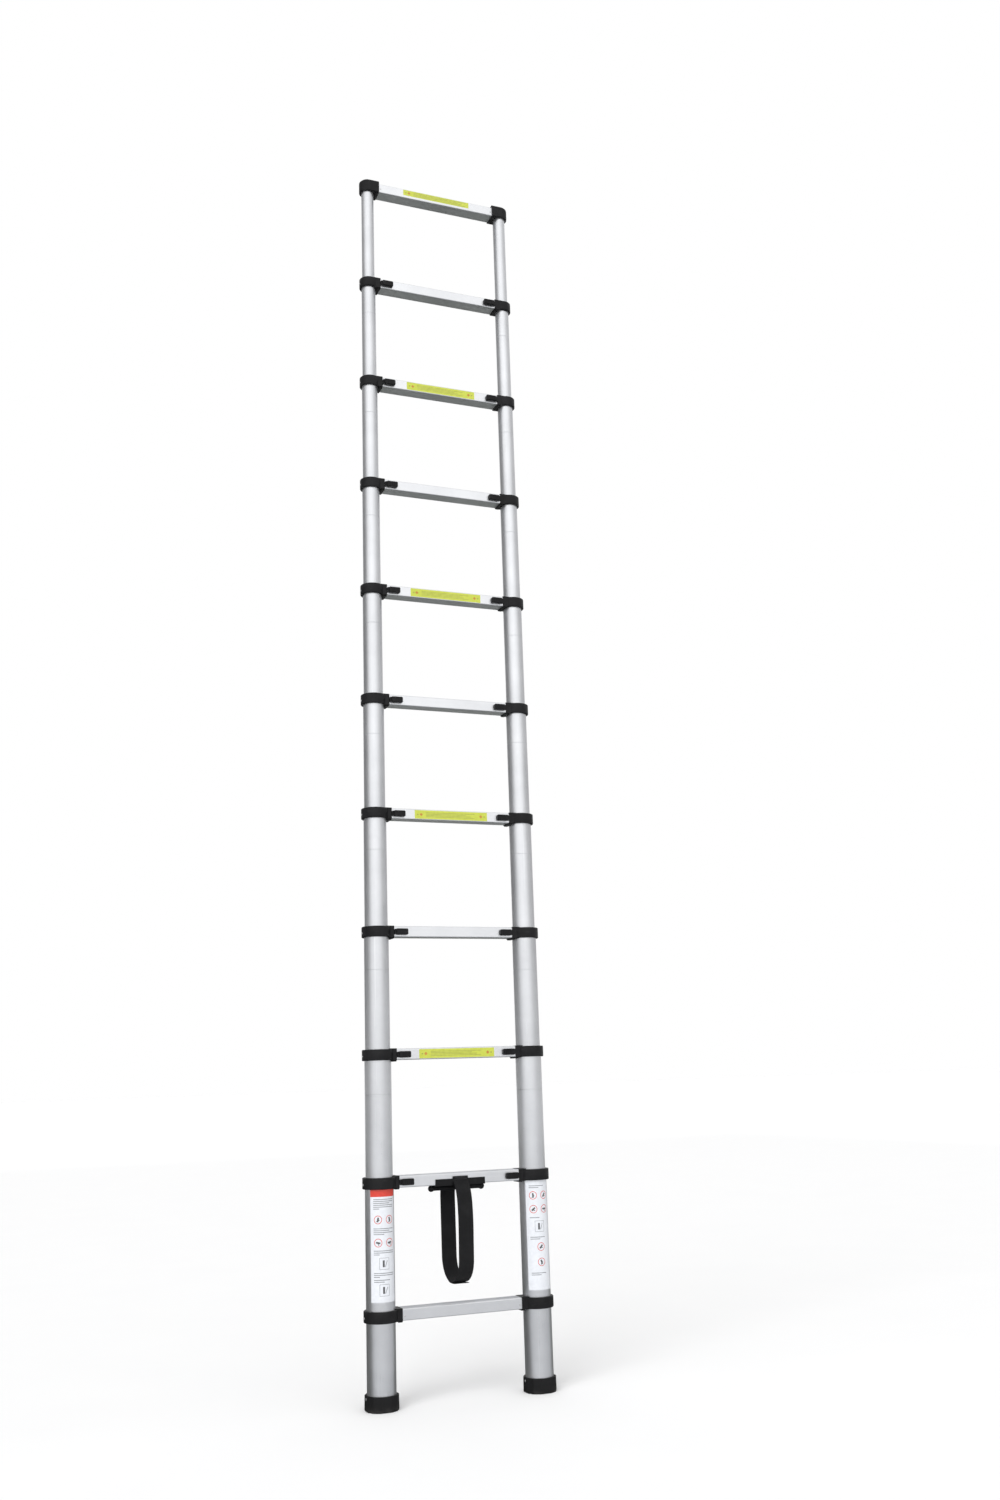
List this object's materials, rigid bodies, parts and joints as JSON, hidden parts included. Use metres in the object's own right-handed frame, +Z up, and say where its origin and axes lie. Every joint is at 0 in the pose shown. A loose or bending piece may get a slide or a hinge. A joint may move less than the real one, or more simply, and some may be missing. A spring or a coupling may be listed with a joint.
{
  "type": "telescoping ladder",
  "caption": "Straight telescoping ladder of nested aluminium tubes and box rungs with black collars, thumb latches, top caps, feet and a hanging carrying strap.",
  "frame": {"origin": "on the floor, midway between the two rails, in the plane of their axes", "axes": "+X along the rungs to the right seen from the front, +Y to the wall side, +Z up the ladder"},
  "size_m": [0.473, 0.1048, 3.173],
  "materials": {
    "tube_aluminium": "satin anodised, fine lengthwise drawing lines",
    "rung_aluminium": "bright satin extrusion",
    "collar_plastic": "fine moulded grain",
    "latch_plastic": "moulded, slightly polished by thumbs",
    "foot_rubber": "matt, scuffed on the edges",
    "clip_plastic": "satin moulded",
    "webbing": "woven polypropylene webbing",
    "rivet_steel": "domed rivet heads",
    "label_film": null,
    "sticker_film": null
  },
  "bodies": {
    "base": {"rails_1": "tube_aluminium", "collars_1": "collar_plastic", "collars_2": "collar_plastic", "rung_1": "rung_aluminium", "rung_2": "rung_aluminium", "foot_left": "foot_rubber", "foot_right": "foot_rubber", "strap_clip": "clip_plastic", "strap": "webbing"},
    "section_2": {"rails_2": "tube_aluminium", "collars_3": "collar_plastic", "rung_3": "rung_aluminium"},
    "section_3": {"rails_3": "tube_aluminium", "collars_4": "collar_plastic", "rung_4": "rung_aluminium"},
    "section_4": {"rails_4": "tube_aluminium", "collars_5": "collar_plastic", "rung_5": "rung_aluminium"},
    "section_5": {"rails_5": "tube_aluminium", "collars_6": "collar_plastic", "rung_6": "rung_aluminium"},
    "section_6": {"rails_6": "tube_aluminium", "collars_7": "collar_plastic", "rung_7": "rung_aluminium"},
    "section_7": {"rails_7": "tube_aluminium", "collars_8": "collar_plastic", "rung_8": "rung_aluminium"},
    "section_8": {"rails_8": "tube_aluminium", "collars_9": "collar_plastic", "rung_9": "rung_aluminium"},
    "section_9": {"rails_9": "tube_aluminium", "collars_10": "collar_plastic", "rung_10": "rung_aluminium"},
    "section_10": {"rails_10": "tube_aluminium", "top_caps": "collar_plastic", "rung_11": "rung_aluminium"},
    "latch_left_2": {"latch_left_2": "latch_plastic"},
    "latch_left_3": {"latch_left_3": "latch_plastic"},
    "latch_left_4": {"latch_left_4": "latch_plastic"},
    "latch_left_5": {"latch_left_5": "latch_plastic"},
    "latch_left_6": {"latch_left_6": "latch_plastic"},
    "latch_left_7": {"latch_left_7": "latch_plastic"},
    "latch_left_8": {"latch_left_8": "latch_plastic"},
    "latch_left_9": {"latch_left_9": "latch_plastic"},
    "latch_left_10": {"latch_left_10": "latch_plastic"},
    "latch_right_2": {"latch_right_2": "latch_plastic"},
    "latch_right_3": {"latch_right_3": "latch_plastic"},
    "latch_right_4": {"latch_right_4": "latch_plastic"},
    "latch_right_5": {"latch_right_5": "latch_plastic"},
    "latch_right_6": {"latch_right_6": "latch_plastic"},
    "latch_right_7": {"latch_right_7": "latch_plastic"},
    "latch_right_8": {"latch_right_8": "latch_plastic"},
    "latch_right_9": {"latch_right_9": "latch_plastic"},
    "latch_right_10": {"latch_right_10": "latch_plastic"}
  },
  "joints": [
    {"name": "slide_2", "type": "slide", "parent": "base", "child": "section_2", "axis": [0, 0, 1], "range_m": [-0.2635, 0]},
    {"name": "slide_3", "type": "slide", "parent": "section_2", "child": "section_3", "axis": [0, 0, 1], "range_m": [-0.2635, 0]},
    {"name": "slide_4", "type": "slide", "parent": "section_3", "child": "section_4", "axis": [0, 0, 1], "range_m": [-0.2635, 0]},
    {"name": "slide_5", "type": "slide", "parent": "section_4", "child": "section_5", "axis": [0, 0, 1], "range_m": [-0.2635, 0]},
    {"name": "slide_6", "type": "slide", "parent": "section_5", "child": "section_6", "axis": [0, 0, 1], "range_m": [-0.2635, 0]},
    {"name": "slide_7", "type": "slide", "parent": "section_6", "child": "section_7", "axis": [0, 0, 1], "range_m": [-0.2635, 0]},
    {"name": "slide_8", "type": "slide", "parent": "section_7", "child": "section_8", "axis": [0, 0, 1], "range_m": [-0.2635, 0]},
    {"name": "slide_9", "type": "slide", "parent": "section_8", "child": "section_9", "axis": [0, 0, 1], "range_m": [-0.2635, 0]},
    {"name": "slide_10", "type": "slide", "parent": "section_9", "child": "section_10", "axis": [0, 0, 1], "range_m": [-0.2635, 0]},
    {"name": "latch_left_2_slide", "type": "slide", "parent": "base", "child": "latch_left_2", "axis": [1, 0, 0], "range_m": [0, 0.008], "stiffness_N_per_m": 300},
    {"name": "latch_left_3_slide", "type": "slide", "parent": "section_2", "child": "latch_left_3", "axis": [1, 0, 0], "range_m": [0, 0.008], "stiffness_N_per_m": 300},
    {"name": "latch_left_4_slide", "type": "slide", "parent": "section_3", "child": "latch_left_4", "axis": [1, 0, 0], "range_m": [0, 0.008], "stiffness_N_per_m": 300},
    {"name": "latch_left_5_slide", "type": "slide", "parent": "section_4", "child": "latch_left_5", "axis": [1, 0, 0], "range_m": [0, 0.008], "stiffness_N_per_m": 300},
    {"name": "latch_left_6_slide", "type": "slide", "parent": "section_5", "child": "latch_left_6", "axis": [1, 0, 0], "range_m": [0, 0.008], "stiffness_N_per_m": 300},
    {"name": "latch_left_7_slide", "type": "slide", "parent": "section_6", "child": "latch_left_7", "axis": [1, 0, 0], "range_m": [0, 0.008], "stiffness_N_per_m": 300},
    {"name": "latch_left_8_slide", "type": "slide", "parent": "section_7", "child": "latch_left_8", "axis": [1, 0, 0], "range_m": [0, 0.008], "stiffness_N_per_m": 300},
    {"name": "latch_left_9_slide", "type": "slide", "parent": "section_8", "child": "latch_left_9", "axis": [1, 0, 0], "range_m": [0, 0.008], "stiffness_N_per_m": 300},
    {"name": "latch_left_10_slide", "type": "slide", "parent": "section_9", "child": "latch_left_10", "axis": [1, 0, 0], "range_m": [0, 0.008], "stiffness_N_per_m": 300},
    {"name": "latch_right_2_slide", "type": "slide", "parent": "base", "child": "latch_right_2", "axis": [-1, 0, 0], "range_m": [0, 0.008], "stiffness_N_per_m": 300},
    {"name": "latch_right_3_slide", "type": "slide", "parent": "section_2", "child": "latch_right_3", "axis": [-1, 0, 0], "range_m": [0, 0.008], "stiffness_N_per_m": 300},
    {"name": "latch_right_4_slide", "type": "slide", "parent": "section_3", "child": "latch_right_4", "axis": [-1, 0, 0], "range_m": [0, 0.008], "stiffness_N_per_m": 300},
    {"name": "latch_right_5_slide", "type": "slide", "parent": "section_4", "child": "latch_right_5", "axis": [-1, 0, 0], "range_m": [0, 0.008], "stiffness_N_per_m": 300},
    {"name": "latch_right_6_slide", "type": "slide", "parent": "section_5", "child": "latch_right_6", "axis": [-1, 0, 0], "range_m": [0, 0.008], "stiffness_N_per_m": 300},
    {"name": "latch_right_7_slide", "type": "slide", "parent": "section_6", "child": "latch_right_7", "axis": [-1, 0, 0], "range_m": [0, 0.008], "stiffness_N_per_m": 300},
    {"name": "latch_right_8_slide", "type": "slide", "parent": "section_7", "child": "latch_right_8", "axis": [-1, 0, 0], "range_m": [0, 0.008], "stiffness_N_per_m": 300},
    {"name": "latch_right_9_slide", "type": "slide", "parent": "section_8", "child": "latch_right_9", "axis": [-1, 0, 0], "range_m": [0, 0.008], "stiffness_N_per_m": 300},
    {"name": "latch_right_10_slide", "type": "slide", "parent": "section_9", "child": "latch_right_10", "axis": [-1, 0, 0], "range_m": [0, 0.008], "stiffness_N_per_m": 300}
  ]
}
